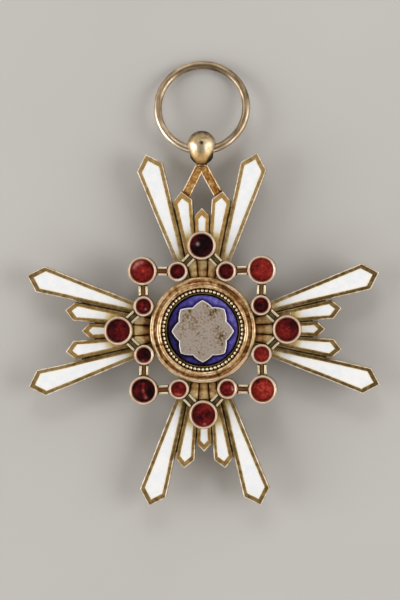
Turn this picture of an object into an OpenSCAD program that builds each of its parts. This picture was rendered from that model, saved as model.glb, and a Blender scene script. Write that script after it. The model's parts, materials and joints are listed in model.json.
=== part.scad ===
// Order badge: a gilt cross of enamelled rays with a frame of red stones, a medallion,
// a V-shaped hanger with a pear-shaped ball, and a ring for the ribbon.
// Millimetres. The badge lies on its back with its face to +Z and its ring towards +Y.
// The origin is the centre of the back cap's flat underside.

/* [Cross] */
// Height of the back cap, which holds the rays above the surface
back_h = 2.2; // [1.8:0.1:2.6]
// Radius of the back cap
back_r = 6.6; // [6.2:0.1:6.8]
// Thickness of the rays
ray_t = 1.8; // [1.6:0.1:2.2]
// Radius of the long rays' tips
long_r = 24.1; // [23.5:0.1:25]
// Radius of the medium rays' tips
medium_r = 18.25; // [17.8:0.05:18.6]
// Radius of the short rays' tips
short_r = 15.9; // [15.6:0.1:16.2]
// Width of the gilt rim round each enamel cell
rim_w = 0.47; // [0.4:0.01:0.52]
// Depth of the enamel cells
cell_d = 0.4; // [0.3:0.05:0.5]
// Width and height of the bevel along the edges of the rays
ray_bevel = 0.14; // [0.08:0.01:0.18]

/* [Jewels] */
// Radius of the circle that the large stones lie on
large_ring_r = 11; // [10.9:0.05:11.2]
// Radius of the circle that the small stones lie on
small_ring_r = 8.27; // [8.26:0.01:8.35]
// Outer radius of a large collet
large_collet_r = 1.86; // [1.7:0.02:1.9]
// Outer radius of a small collet
small_collet_r = 1.31; // [1.2:0.01:1.32]
// Height of the collets
collet_h = 1.7; // [1.4:0.1:2]
// Thickness of a collet's wall beside the stone
collet_wall = 0.38; // [0.32:0.02:0.42]
// Width over both bars of a link
link_w = 1.18; // [1:0.02:1.3]
// Width of one bar of a link
bar_w = 0.3; // [0.24:0.02:0.36]

/* [Medallion] */
// Outer radius of the bezel
bezel_r = 6.9; // [6.8:0.02:6.92]
// Radius of the circle that the beads lie on
bead_ring_r = 5.17; // [5.14:0.01:5.2]
// Number of beads
bead_count = 60; // [48:1:64]
// Diameter of a bead
bead_d = 0.46; // [0.36:0.02:0.5]
// Radius of the blue enamel field
field_r = 4.54; // [4.4:0.02:4.6]
// Radius of the mirror plate at its eight points
mirror_tip_r = 4.05; // [3.9:0.05:4.15]
// Radius of the mirror plate at its eight notches
mirror_notch_r = 3.35; // [3.25:0.05:3.5]
// Thickness of the mirror plate
mirror_t = 0.36; // [0.3:0.02:0.5]

/* [Hanger and ring] */
// Distance from the centre to the hinge axis in the ball
hinge_y = 23.4; // [23.2:0.1:23.6]
// Largest radius of the pear-shaped ball
ball_r = 1.89; // [1.8:0.01:1.95]
// Thickness of the V-shaped strut
strut_t = 1.2; // [1:0.1:1.4]
// Radius of the ring to the middle of its wire
ring_r = 5.79; // [5.6:0.01:6]
// Diameter of the ring's wire
wire_d = 1.04; // [0.9:0.02:1.1]

/* [Hidden] */
$fn = 64;

// Clearance between pieces that fit into one another
gap = 0.02;
// Distance by which a cutter passes the face that it opens
cut = 0.5;

// Levels, from the surface upwards
front_z = back_h + ray_t;
hinge_drop = 0.7;
hinge_z = front_z - hinge_drop;

// Radius at which the rays' roots end, and the hub under the bezel that joins them
root_r = 6;
hub_r = root_r + 0.4;
hub_inset = 0.05;

// Thin webs between the rays: angle from the arm's axis and distance to the web's end
webs = [[4.5, 14.3], [13.3, 16.4]];
web_w = 0.5;
web_t = 0.65;
web_start = root_r - 0.3;

// Columns of the ray table: radius and angle of the tip, of the outer and of the inner
// shoulder, the angles of the outer and the inner edge at the root, and the radius at
// which the enamel starts. Angles are in degrees from the arm's axis.
tip_r = 0;
tip_a = 1;
out_r = 2;
out_a = 3;
in_r = 4;
in_a = 5;
out_root_a = 6;
in_root_a = 7;
cell_r = 8;
rays = [
    [short_r, 0, short_r - 1.03, 3.86, short_r - 1.03, -3.86, 4.74, -4.74, 12.4],
    [medium_r, 8.55, medium_r - 1.12, 12.7, medium_r - 1.2, 4.4, 13.17, 5.47, 11.6],
    [long_r, 17.6, long_r - 1.74, 22.2, long_r - 1.67, 13.2, 22.95, 14.2, 9.6]
];
arms = ["top", "right", "bottom", "left"];
rays_per_arm = 5;
middle_ray = 2;

// Distance of the enamel's surface below the rims
enamel_dip = 0.03;

// Ribs on the bare roots of the short and medium rays: radius and angle from the axis
root_ribs = [[0.6, 0], [0.52, 9.2], [0.52, -9.2]];
rib_start = bezel_r + 0.1;
rib_end = large_ring_r - large_collet_r - 0.05;
rib_rise = 0.2;

// Eight places round the medallion, each with a large stone and, half a step on, a small one
places = 8;
place_step = 360 / places;

// Collets, stones and links, measured up from the front of the rays
collet_floor = 0.4;
lip_h = 0.35;
lip_w = 0.2;
// Height of a stone's dome as a share of its radius
dome_share = 0.16;
stone_drop = 0.1;
stone_h = collet_h - collet_floor - lip_h - stone_drop;
link_z = 0.5;
link_floor = 0.35;
link_h = 0.8;

// Medallion, measured up from the front of the rays
cup_floor = 0.3;
band_r = 0.25;
outer_band_z = 1;
inner_band_z = 1.3;
groove_r = bezel_r - 0.7;
groove_z = 1;
bead_room = 0.05;
cup_r = bead_ring_r + bead_d / 2 + bead_room;
ledge_r = 4.72;
ledge_w = 0.16;
bead_base_z = 0.88;
ledge_z = 0.98;
field_z = 0.75;
mirror_drop = 0.15;
mirror_core_r = mirror_notch_r - 0.1;
mirror_bulge_r = 2.4;

// Hanger: the ball's widest level lies above the hinge axis, and its neck below
ball_y = hinge_y + 0.67;
ball_drop = 2.6;
neck_r = 0.72;
collar_r = 0.78;
collar_y = 21.3;
collar_h = 0.4;
strut_rim = 0.17;
strut_sink = 0.12;
strut = [
    [-0.78, 21.5], [-2.87, 17.5], [-1.8, 16.95], [0, 20.35],
    [1.8, 16.95], [2.87, 17.5], [0.78, 21.5]
];

// The ring droops until its far side lies on the surface
wire_r = wire_d / 2;
ring_droop = asin((hinge_z - wire_r) / (2 * ring_r));
bore_r = wire_r + 0.06;
bore_mouth_r = 0.97;
bore_reach = ball_r + 0.1;
// Overlap of the two halves of the bore at the middle
bore_lap = 0.01;

gilt = [0.79, 0.66, 0.43];
pale_gilt = [0.78, 0.72, 0.6];
white_enamel = [0.95, 0.95, 0.93];
blue_enamel = [0.26, 0.21, 0.55];
red_glass = [0.5, 0.07, 0.07];
tarnished_silver = [0.65, 0.61, 0.56];

function enamel_name(arm, i) = str("enamel_", arms[arm], "_", i + 1);
function large_name(k) = str("large_stone_", k + 1);
function small_name(k) = str("small_stone_", k + 1);

// Point at radius r and a degrees clockwise from +Y
function polar(r, a) = [r * sin(a), r * cos(a)];

// Point a share t of the way from p to q
function along(p, q, t) = p + (q - p) * t;

// Unit normal of the edge from p to q, to its left
function normal(p, q) = [p[1] - q[1], q[0] - p[0]] / norm(q - p);

// Point where the line through p along u meets the line through q along v
function meet(p, u, q, v) = p + u * cross(q - p, v) / cross(u, v);

// Outline whose edges lie a distance d inside those of an anticlockwise outline
function inset(pts, d) = [
    for (i = [0:len(pts) - 1])
        let (
            a = pts[(i + len(pts) - 1) % len(pts)],
            b = pts[i],
            c = pts[(i + 1) % len(pts)]
        )
        meet(b + d * normal(a, b), b - a, b + d * normal(b, c), c - b)
];

// Points along an arc in n steps
function arc(centre, r, a0, a1, n) = [
    for (i = [0:n])
        centre + r * [cos(a0 + (a1 - a0) * i / n), sin(a0 + (a1 - a0) * i / n)]
];

// Outline of a ray from the distance start out to its tip, anticlockwise
function ray_outline(ray, start) =
    let (
        in_root = polar(root_r, ray[in_root_a]),
        in_shoulder = polar(ray[in_r], ray[in_a]),
        out_root = polar(root_r, ray[out_root_a]),
        out_shoulder = polar(ray[out_r], ray[out_a])
    )
    [
        along(in_root, in_shoulder, (start - root_r) / (ray[in_r] - root_r)),
        along(out_root, out_shoulder, (start - root_r) / (ray[out_r] - root_r)),
        out_shoulder,
        polar(ray[tip_r], ray[tip_a]),
        in_shoulder
    ];

function cell_outline(ray, d) = inset(ray_outline(ray, ray[cell_r] - rim_w), d);

// Centres of the collets, clockwise from the top
function large_at(k) = polar(large_ring_r, place_step * k);
function small_at(k) = polar(small_ring_r, place_step * (k + 0.5));

// Ray i of an arm, counted clockwise; those before the middle one are mirrored
module place_ray(arm, i) {
    rotate(-90 * arm)
        if (i < middle_ray)
            mirror([1, 0, 0]) children();
        else
            children();
}

function ray_row(i) = rays[abs(i - middle_ray)];

// Solid between rings of points at rising levels, the same number in each ring
module loft(rings) {
    n = len(rings[0]);
    last = len(rings) - 1;
    polyhedron(
        points = [for (ring = rings) each ring],
        faces = concat(
            [[for (j = [0:n - 1]) j]],
            [for (i = [0:last - 1], j = [0:n - 1])
                let (a = i * n + j, b = i * n + (j + 1) % n)
                [a, a + n, b + n, b]],
            [[for (j = [n - 1:-1:0]) last * n + j]]
        )
    );
}

function at_level(pts, z) = [for (p = pts) [p[0], p[1], z]];

// One ray with bevelled edges in front and behind
module ray_body(ray) {
    outer = ray_outline(ray, root_r);
    bevelled = inset(outer, ray_bevel);
    loft([
        at_level(bevelled, back_h),
        at_level(outer, back_h + ray_bevel),
        at_level(outer, front_z - ray_bevel),
        at_level(bevelled, front_z)
    ]);
}

// Thin web that joins two rays below their faces
module web(angle, end) {
    rotate(-angle)
        translate([-web_w / 2, web_start, back_h + (ray_t - web_t) / 2])
            cube([web_w, end - web_start, web_t]);
}

// Rounded rib on the bare root of a ray
module root_rib(rib) {
    rotate(-rib[1])
        translate([0, rib_start, front_z + rib_rise - rib[0]])
            rotate([-90, 0, 0])
                cylinder(r = rib[0], h = rib_end - rib_start);
}

module ray_cross() {
    color(gilt)
    difference() {
        union() {
            translate([0, 0, back_h + hub_inset])
                cylinder(r = hub_r, h = ray_t - 2 * hub_inset);
            for (arm = [0:len(arms) - 1]) {
                for (i = [0:rays_per_arm - 1])
                    place_ray(arm, i) ray_body(ray_row(i));
                for (row = webs, side = [-1, 1])
                    rotate(-90 * arm) web(side * row[0], row[1]);
                for (rib = root_ribs)
                    rotate(-90 * arm) root_rib(rib);
            }
        }
        for (arm = [0:len(arms) - 1], i = [0:rays_per_arm - 1])
            place_ray(arm, i)
                translate([0, 0, front_z - cell_d])
                    linear_extrude(cell_d + cut)
                        polygon(cell_outline(ray_row(i), rim_w));
    }
}

// Enamel in the cell of one ray, a little lower than the rims
module ray_enamel(arm, i) {
    color(white_enamel)
    place_ray(arm, i)
        translate([0, 0, front_z - cell_d])
            linear_extrude(cell_d - enamel_dip)
                polygon(cell_outline(ray_row(i), rim_w + gap));
}

// Plain back with a chamfered foot
module back_cap() {
    chamfer = 0.3;
    color(gilt) {
        cylinder(r1 = back_r - chamfer, r2 = back_r, h = chamfer);
        translate([0, 0, chamfer]) cylinder(r = back_r, h = back_h - chamfer);
    }
}

// Hollow of a collet: the stone's seat and the sloping lip above it
module collet_hollow(r) {
    seat_r = r - collet_wall;
    rotate_extrude()
        polygon([
            [0, collet_floor], [seat_r, collet_floor], [seat_r, collet_h - lip_h],
            [seat_r + lip_w, collet_h], [seat_r + lip_w, collet_h + cut], [0, collet_h + cut]
        ]);
}

// Channel with two raised bars between the points p and q
module link(p, q) {
    run = q - p;
    translate([p[0], p[1], link_z])
        rotate(atan2(run[1], run[0]))
            difference() {
                translate([0, -link_w / 2, 0])
                    cube([norm(run), link_w, link_h]);
                translate([-cut, -link_w / 2 + bar_w, link_floor])
                    cube([norm(run) + 2 * cut, link_w - 2 * bar_w, link_h]);
            }
}

module jewel_frame() {
    color(pale_gilt)
    translate([0, 0, front_z])
        difference() {
            union() {
                for (k = [0:places - 1]) {
                    translate(large_at(k)) cylinder(r = large_collet_r, h = collet_h);
                    translate(small_at(k)) cylinder(r = small_collet_r, h = collet_h);
                    link(small_at(k), large_at(k));
                    link(small_at(k), large_at(k + 1));
                }
            }
            for (k = [0:places - 1]) {
                translate(large_at(k)) collet_hollow(large_collet_r);
                translate(small_at(k)) collet_hollow(small_collet_r);
            }
        }
}

// Low-domed glass stone of radius r at a collet's centre
module stone(centre, r) {
    dome_h = dome_share * r;
    dome_r = (r * r + dome_h * dome_h) / (2 * dome_h);
    color(red_glass)
    translate([centre[0], centre[1], front_z + collet_floor])
        intersection() {
            cylinder(r = r, h = stone_h + dome_h + cut);
            translate([0, 0, stone_h + dome_h - dome_r]) sphere(r = dome_r, $fn = 96);
        }
}

// Cup with a stepped moulding of two rounded bands and a groove
module medallion_bezel() {
    color(gilt)
    translate([0, 0, front_z])
        rotate_extrude($fn = 96)
            polygon(concat(
                [[0, 0], [bezel_r, 0]],
                arc([bezel_r - band_r, outer_band_z], band_r, 0, 140, 6),
                [[groove_r, groove_z]],
                arc([cup_r + band_r, inner_band_z], band_r, 0, 180, 8),
                [[cup_r, cup_floor], [0, cup_floor]]
            ));
}

// Ring of beads with a thin ledge along its inner edge
module bead_ring() {
    outer_r = cup_r - gap;
    color(pale_gilt)
    translate([0, 0, front_z]) {
        rotate_extrude($fn = 96)
            polygon([
                [ledge_r, cup_floor], [outer_r, cup_floor], [outer_r, bead_base_z],
                [ledge_r + ledge_w, bead_base_z], [ledge_r + ledge_w, ledge_z],
                [ledge_r, ledge_z]
            ]);
        for (i = [0:bead_count - 1])
            rotate(i * 360 / bead_count)
                translate([bead_ring_r, 0, bead_base_z]) sphere(d = bead_d, $fn = 24);
    }
}

module blue_field() {
    color(blue_enamel)
    translate([0, 0, front_z + cup_floor])
        cylinder(r = field_r, h = field_z - cup_floor, $fn = 96);
}

// Pointed petal of the mirror plate between two notches, towards +Y
module petal() {
    tip = [0, mirror_tip_r];
    notch = polar(mirror_notch_r, place_step / 2);
    half = (tip - notch) / 2;
    depth = sqrt(mirror_bulge_r * mirror_bulge_r - half * half);
    centre = (tip + notch) / 2 + depth * [-half[1], half[0]] / norm(half);
    intersection() {
        translate(centre) circle(r = mirror_bulge_r);
        translate([-centre[0], centre[1]]) circle(r = mirror_bulge_r);
    }
}

module mirror_plate() {
    color(tarnished_silver)
    translate([0, -mirror_drop, front_z + field_z])
        linear_extrude(mirror_t)
            union() {
                circle(r = mirror_core_r);
                for (k = [0:places - 1]) rotate(place_step * k) petal();
            }
}

// Half outline of the pear-shaped ball, from its top down to its neck
function ball_profile() =
    let (neck_a = -acos(neck_r / ball_r), steps = 18)
    concat(
        [for (i = [0:steps])
            let (a = 90 + (neck_a - 90) * i / steps)
            [ball_r * cos(a), (a > 0 ? ball_r : ball_drop) * sin(a)]],
        [[0, ball_drop * sin(neck_a)]]
    );

// Hole through the ball along X, wider at its mouths so that the curved wire can swing
module ring_bore() {
    for (side = [-90, 90])
        rotate([0, side, 0])
            translate([0, 0, -bore_lap])
                cylinder(r1 = bore_r, r2 = bore_mouth_r, h = bore_reach);
}

// Flat V-shaped strut with raised edges, fitted to the tips of two medium rays
module strut_body() {
    tip_fit = inset(ray_outline(rays[1], root_r), -gap);
    difference() {
        translate([0, 0, hinge_z - strut_t / 2])
            linear_extrude(strut_t) polygon(strut);
        translate([0, 0, hinge_z + strut_t / 2 - strut_sink])
            linear_extrude(strut_sink + cut) polygon(inset(strut, strut_rim));
        for (side = [0, 1])
            mirror([side, 0, 0])
                translate([0, 0, back_h - cut])
                    linear_extrude(ray_t + 2 * cut) polygon(tip_fit);
    }
}

module hanger() {
    color(gilt)
    difference() {
        union() {
            strut_body();
            translate([0, collar_y, hinge_z])
                rotate([-90, 0, 0]) cylinder(r = collar_r, h = collar_h);
            translate([0, ball_y, hinge_z])
                rotate([-90, 0, 0]) rotate_extrude() polygon(ball_profile());
        }
        translate([0, hinge_y, hinge_z]) ring_bore();
    }
}

module suspension_ring() {
    color(pale_gilt)
    translate([0, hinge_y, hinge_z])
        rotate([-ring_droop, 0, 0])
            translate([0, ring_r, 0])
                rotate_extrude($fn = 128) translate([ring_r, 0]) circle(d = wire_d, $fn = 48);
}

ray_cross();  // cross
back_cap();
jewel_frame();
medallion_bezel();
bead_ring();
blue_field();
mirror_plate();
hanger();
suspension_ring();
for (arm = [0:len(arms) - 1], i = [0:rays_per_arm - 1])
    ray_enamel(arm, i);
for (k = [0:places - 1])
    stone(large_at(k), large_collet_r - collet_wall - gap);
for (k = [0:places - 1])
    stone(small_at(k), small_collet_r - collet_wall - gap);
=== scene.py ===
import json
from functools import partial
from math import acos, atan2, cos, degrees, exp, hypot, pi, radians, sin, sqrt, tau

import bmesh
import bpy
from mathutils import Matrix, Vector, noise


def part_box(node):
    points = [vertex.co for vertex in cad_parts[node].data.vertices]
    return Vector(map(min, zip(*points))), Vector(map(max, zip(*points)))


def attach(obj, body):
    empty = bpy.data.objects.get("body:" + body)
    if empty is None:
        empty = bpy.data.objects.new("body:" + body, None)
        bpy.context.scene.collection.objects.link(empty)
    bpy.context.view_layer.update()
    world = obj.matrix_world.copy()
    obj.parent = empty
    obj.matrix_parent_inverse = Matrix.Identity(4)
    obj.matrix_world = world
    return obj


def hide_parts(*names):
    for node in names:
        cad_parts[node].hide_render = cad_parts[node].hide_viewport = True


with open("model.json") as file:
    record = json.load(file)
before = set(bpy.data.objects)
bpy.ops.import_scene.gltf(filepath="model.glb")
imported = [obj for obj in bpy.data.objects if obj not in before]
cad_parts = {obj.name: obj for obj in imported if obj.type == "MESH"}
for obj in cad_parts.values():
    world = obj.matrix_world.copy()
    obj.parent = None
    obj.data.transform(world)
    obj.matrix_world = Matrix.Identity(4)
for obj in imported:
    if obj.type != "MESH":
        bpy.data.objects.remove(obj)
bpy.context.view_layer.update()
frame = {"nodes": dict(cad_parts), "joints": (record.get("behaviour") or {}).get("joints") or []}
mm = 0.001  # the lengths below are in millimetres
noise.seed_set(4)  # without it, the field of the hand work differs in each run


# colours and shader nodes

def linear(hexColour):
    channels = [int(hexColour[i:i + 2], 16) / 255 for i in (1, 3, 5)]
    return [c / 12.92 if c <= 0.04045 else ((c + 0.055) / 1.055) ** 2.4 for c in channels] + [1]


# adds a node: its inputs in the order that it shows them (a noise has place, scale, detail and
# roughness, a map range the value, from and to) or by name, as its settings are. A math node adds
# where no operation is named, and stops are a ramp's places and colours
def addNode(tree, kind, *values, out=None, stops=(), **named):
    node = tree.nodes.new("ShaderNode" + kind)
    for key in [key for key in named if hasattr(node, key)]:
        setattr(node, key, named.pop(key))
    shown = [socket for socket in node.inputs if socket.enabled]
    byName = [(node.inputs[key.replace("_", " ")], value) for key, value in named.items()]
    for socket, value in [*zip(shown, values), *byName]:
        if isinstance(value, bpy.types.NodeSocket):
            tree.links.new(value, socket)
        else:
            socket.default_value = linear(value) if isinstance(value, str) else value
    if stops:
        ramp = node.color_ramp.elements
        while len(ramp) < len(stops):
            ramp.new(0.5)
        for element, (place, colour) in zip(ramp, stops):
            element.position = place
            element.color = linear(colour)
    return node.outputs[out] if out else next((socket for socket in node.outputs if socket.enabled), None)


# gives the material, its node adder, object coordinates in millimetres, so that every pattern
# has a real size, and the shape's own point values that are asked for
def newMaterial(name, *pointValues):
    material = bpy.data.materials.new(name)
    material.use_nodes = True
    material.node_tree.nodes.clear()
    add = partial(addNode, material.node_tree)
    place = add("Mapping", add("TexCoord", out="Object"), Scale=[1 / mm] * 3)
    return material, add, place, *(add("Attribute", attribute_name=key, out="Fac") for key in pointValues)


def finishMaterial(add, **inputs):
    add("OutputMaterial", add("BsdfPrincipled", **inputs))


noiseSpan = (0.3, 0.7)  # where nearly all values of a noise lie


# meshes: a shape gathers rings of points, and every point has its grime from 0 to 1, which in places also
# carries painted shade or a painted highlight, as noted where it is set

def newShape():
    return {"points": [], "faces": [], "grime": [], "fade": []}


def addRings(shape, rings, grimes, loop=False, caps=True, fades=None):
    base, count, last = len(shape["points"]), len(rings[0]), len(rings)
    for i, ring in enumerate(rings):
        shape["points"] += [Vector(p) for p in ring]
        shape["grime"] += grimes[i] if isinstance(grimes[i], list) else [grimes[i]] * count
        shape["fade"] += fades[i] if fades else [0] * count
    for i in range(last if loop else last - 1):
        a, b = base + i * count, base + (i + 1) % last * count
        for j in range(count):
            k = (j + 1) % count
            shape["faces"].append((a + j, a + k, b + k, b + j))
    if caps and not loop:
        for end in (base, base + (last - 1) * count):
            shape["faces"].append(tuple(range(end, end + count)))


# a profile is a list of (radius, height, grime), turned round an upright axis or the given one
def addLathe(shape, centre, profile, segments, turn=Matrix.Identity(3)):
    angles = [tau * j / segments for j in range(segments)]
    rings = [[Vector(centre) + turn @ Vector((radius * cos(a), radius * sin(a), height)) for a in angles]
             for radius, height, _ in profile]
    addRings(shape, rings, [grime for _, _, grime in profile])


lengthwise = Matrix(((1, 0, 0), (0, 0, 1), (0, -1, 0)))  # turns a lathe's axis to +Y
crosswise = Matrix(((0, 0, 1), (0, 1, 0), (-1, 0, 0)))  # and to +X


def arc(centre, radius, fromDeg, toDeg, steps, grime, grimeEnd=None):
    grimeEnd = grime if grimeEnd is None else grimeEnd
    spots = []
    for i in range(steps + 1):
        t = i / steps
        a = radians(fromDeg + (toDeg - fromDeg) * t)
        spot = (centre[0] + radius * cos(a), centre[1] + radius * sin(a))
        spots.append((*spot, grime + (grimeEnd - grime) * t))
    return spots


# every edge of an anticlockwise outline moved inwards, by one depth or by one for each edge
def insetLoop(loop, depth):
    depths = depth if isinstance(depth, list) else [depth] * len(loop)
    moved = []
    for i, here in enumerate(loop):
        a = (here - loop[i - 1]).normalized()
        b = (loop[(i + 1) % len(loop)] - here).normalized()
        inA, inB = Vector((-a.y, a.x)), Vector((-b.y, b.x))
        bend, before, after = inA.dot(inB), depths[i - 1], depths[i]
        if before == after:
            moved.append(here + (inA + inB) * (before / (1 + bend)))
        else:
            shift = inA * (before - after * bend) + inB * (after - before * bend)
            moved.append(here + shift / (1 - bend * bend))
    return moved


def fineLoop(loop, counts):
    fine = []
    for i, here in enumerate(loop):
        after = loop[(i + 1) % len(loop)]
        fine += [here.lerp(after, j / counts[i]) for j in range(counts[i])]
    return fine


def atLevel(loop, z):
    return [Vector((p.x, p.y, z)) for p in loop]


# hand work is never quite even: one soft field bends every fixed piece alike, so gaps stay
handWork = {"size": 3.5, "amount": 0.045}


def uneven(point):
    return point + noise.noise_vector(point / handWork["size"]) * handWork["amount"]


def clamp(share):
    return max(0, min(1, share))


def smooth(share):
    share = clamp(share)
    return share * share * (3 - 2 * share)


# 1 towards a side, given in degrees from +X, and 0 from a quarter turn away
def facing(x, y, side):
    return max(0, cos(atan2(y, x) - radians(side)))


# round soft spots, as (x, y, size, strength)
def spotted(x, y, spots):
    return sum(strength * exp(-((x - spotX) ** 2 + (y - spotY) ** 2) / (size * size))
               for spotX, spotY, size, strength in spots)


def pieceName(node):
    first, *rest = node.split("_")
    return first + "".join(word.capitalize() for word in rest)


def addObject(name, data):
    made = bpy.data.objects.new(name, data)
    bpy.context.scene.collection.objects.link(made)
    return made


def makePiece(name, shape, material, nodes, body="badge", sharp=32, even=False):
    points = shape["points"] if even else [uneven(p) for p in shape["points"]]
    mesh = bpy.data.meshes.new(name)
    mesh.from_pydata([p * mm for p in points], [], shape["faces"])
    for key in ("grime", "fade"):
        mesh.attributes.new(key, "FLOAT", "POINT").data.foreach_set("value", shape[key])
    work = bmesh.new()
    work.from_mesh(mesh)
    bmesh.ops.remove_doubles(work, verts=work.verts, dist=1e-6 * mm)
    bmesh.ops.recalc_face_normals(work, faces=work.faces)
    work.to_mesh(mesh)
    work.free()
    mesh.shade_smooth()
    mesh.set_sharp_from_angle(angle=radians(sharp))
    mesh.materials.append(material)
    piece = addObject(name, mesh)
    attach(piece, body)
    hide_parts(*nodes)
    return piece


# sizes that the frame gives, in millimetres

def boxOf(node):
    low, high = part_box(node)
    return low / mm, high / mm


# corners of a flat node's top face, anticlockwise
def topOutline(node):
    top = boxOf(node)[1].z
    same = 0.002  # corners and levels nearer than this are one
    corners = []
    for v in frame["nodes"][node].data.vertices:
        p = v.co / mm
        if abs(p.z - top) < same and all((p.xy - c).length > same for c in corners):
            corners.append(p.xy)
    centre = sum(corners, Vector((0, 0))) / len(corners)
    return sorted(corners, key=lambda c: atan2(c.y - centre.y, c.x - centre.x))


enamelDip = 0.03  # enamel below the gilt rims
levels = {"capTop": boxOf("back_cap")[1].z, "front": boxOf("enamel_top_3")[1].z + enamelDip}
hinge = Vector(frame["joints"][0]["pos_m"]) / mm
arms = ("top", "right", "bottom", "left")
raysPerArm = 5


# a value charted by arm or by ray, as a node's name asks
def ofArm(values, node):
    return values[arms.index(node.split("_")[1])]


def ofRay(values, node):
    return values[int(node[-1]) - 1]


# the camera looks down at the badge as it lies, a few degrees from the right

cameraLook = {
    "target": (-0.38, 3.9, 3.9), "distance": 450,
    "leanRight": 3.5, "leanTop": 1, "roll": -0.56,  # degrees from straight above
    "sensor": 36, "focal": 207.2,  # mm, along the photograph's long side
}


def makeCamera(look):
    right, top = (sin(radians(look[key])) for key in ("leanRight", "leanTop"))
    away = Vector((right, top, sqrt(1 - right * right - top * top)))
    camera = addObject("camera", bpy.data.cameras.new("camera"))
    camera.data.lens = look["focal"]
    camera.data.sensor_width = look["sensor"]
    camera.data.clip_start = 0.01
    sideways = Vector((0, 1, 0)).cross(away).normalized()
    turn = Matrix((sideways, away.cross(sideways), away)).transposed()
    turn = turn @ Matrix.Rotation(radians(look["roll"]), 3, "Z")
    place = (Vector(look["target"]) + away * look["distance"]) * mm
    camera.matrix_world = Matrix.Translation(place) @ turn.to_4x4()
    bpy.context.scene.camera = camera
    print("camera: placed above the badge")


# a pale floor, a soft surround that is darkest straight above, and softboxes at the sides

studio = {
    "surround": ((0, "#F4F1EC"), (0.35, "#F4F1EC"), (0.85, "#5C5751")),  # by height above the floor
    "surroundStrength": 1.35,
    "paper": ((0.3, "#C0BEBB"), (0.7, "#C6C4C1")),
    "mottle": 40,
    "floorSize": 3,  # metres
    "softboxes": (  # place and size in metres, power in watts
        ("leftSoftbox", (-0.42, -0.02, 0.20), (0.34, 0.30), 0.9),
        ("rightSoftbox", (0.38, -0.03, 0.30), (0.32, 0.26), 0.82),
        ("topSoftbox", (0, 0.36, 0.36), (0.22, 0.10), 0.3),
    ),
}


def makeStudio(look):
    bpy.context.scene.view_settings.view_transform = "Standard"
    world = bpy.data.worlds.new("studioSurround")
    bpy.context.scene.world = world
    world.use_nodes = True
    world.node_tree.nodes.clear()
    add = partial(addNode, world.node_tree)
    height = add("SeparateXYZ", add("TexCoord", out="Generated"), out="Z")
    colour = add("ValToRGB", height, stops=look["surround"])
    add("OutputWorld", add("Background", colour, look["surroundStrength"]))
    for name, place, size, power in look["softboxes"]:
        lamp = bpy.data.lights.new(name, "AREA")
        lamp.shape = "RECTANGLE"
        lamp.size, lamp.size_y = size
        lamp.energy = power
        box = addObject(name, lamp)
        box.location = place
        box.rotation_euler = Vector(place).to_track_quat("Z", "Y").to_euler()
        box.visible_camera = False
    print("studio:", len(look["softboxes"]), "softboxes")


def paperFloor(look):  # matt background paper: no gloss, a faint mottle so that it isn't dead flat
    material, add, place = newMaterial("mattPaper")
    mottle = add("TexNoise", place, 1 / look["mottle"], 3)
    finishMaterial(add, Base_Color=add("ValToRGB", mottle, stops=look["paper"]), Roughness=0.9)
    return material


def makeFloor(look):
    half = look["floorSize"] / 2
    corners = [(-half, -half, 0), (half, -half, 0), (half, half, 0), (-half, half, 0)]
    mesh = bpy.data.meshes.new("floor")
    mesh.from_pydata(corners, [], [(0, 1, 2, 3)])
    mesh.materials.append(paperFloor(look))
    floor = addObject("floor", mesh)


# gilded silver, struck or turned and then fire-gilt: a soft warm metal whose high edges are
# rubbed pale and whose hollows hold brown tarnish, as the shape's points ask; in places the
# points' grime also carries painted shade or a painted highlight, as noted where it is set. A
# dirty gilding is less metallic, since its dirt scatters the light. A row has the colours rubbed,
# gold, brown and soot, roughness, the size of the clouds and their strength, the grain's size,
# bump, the share of patina, metallic, and a second colour or none: warmer gilding, or a painted
# reflection of the red that a stone throws
gilding = {
    "struck": ("#FAF2EA", "#C2AA78", "#6E5A3A", "#241404", 0.34, 0.7, 0.2, 0.16, 0.4, 0.3, 0.93, "#F2BC66"),
    "root": ("#FFE6AC", "#DCAC66", "#8C5622", "#2C1404", 0.34, 0.6, 0.24, 0.14, 0.8, 0.35, 0.1, None),
    "cap": ("#E8CD98", "#C59D5E", "#8A6538", "#2E1B0A", 0.36, 2.5, 0.2, 0.2, 0.3, 0.2, 1, None),
    "collet": ("#FFF0E0", "#DEB892", "#7E6230", "#2C1A10", 0.26, 1, 0.12, 0.14, 0.4, 0.55, 0.62, "#84382A"),
    "link": ("#FBEFD2", "#C9B68A", "#76704C", "#2A2412", 0.28, 0.7, 0.16, 0.14, 0.3, 0.6, 0.88, "#D27E60"),
    "bezel": ("#F6E2C0", "#D4B07C", "#8A5A2C", "#2C1602", 0.34, 0.5, 0.22, 0.13, 0.9, 0.55, 0.88, None),
    "bead": ("#FBEBC4", "#DDBF80", "#5E4A26", "#140E04", 0.26, 1.2, 0.14, 0.1, 0.2, 0.2, 0.8, None),
    "hanger": ("#FFEFD8", "#E6BC74", "#A0682C", "#2A1604", 0.38, 0.45, 0.34, 0.12, 1, 0.4, 0.88, None),
    "ball": ("#F2E6CE", "#C6AE86", "#665A46", "#20140A", 0.3, 0.8, 0.2, 0.12, 0.9, 0.3, 1, "#CC9E54"),
    "ring": ("#F2E4D0", "#B49E80", "#66543E", "#2C2010", 0.22, 2, 0.12, 0.16, 0.2, 0.1, 0.92, None),
}
dirtStops = (0.05, 0.3, 0.62, 1)  # dirt at which each of the four colours is reached
dirtRoughness = 0.3  # added where the dirt is full
# a thin film of tarnish turns the gold pinkish here and olive there
patina = {"size": 0.8, "tints": ((0.34, "#F8D8CC"), (0.5, "#FFFFFF"), (0.66, "#E2E2BC"))}


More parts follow.
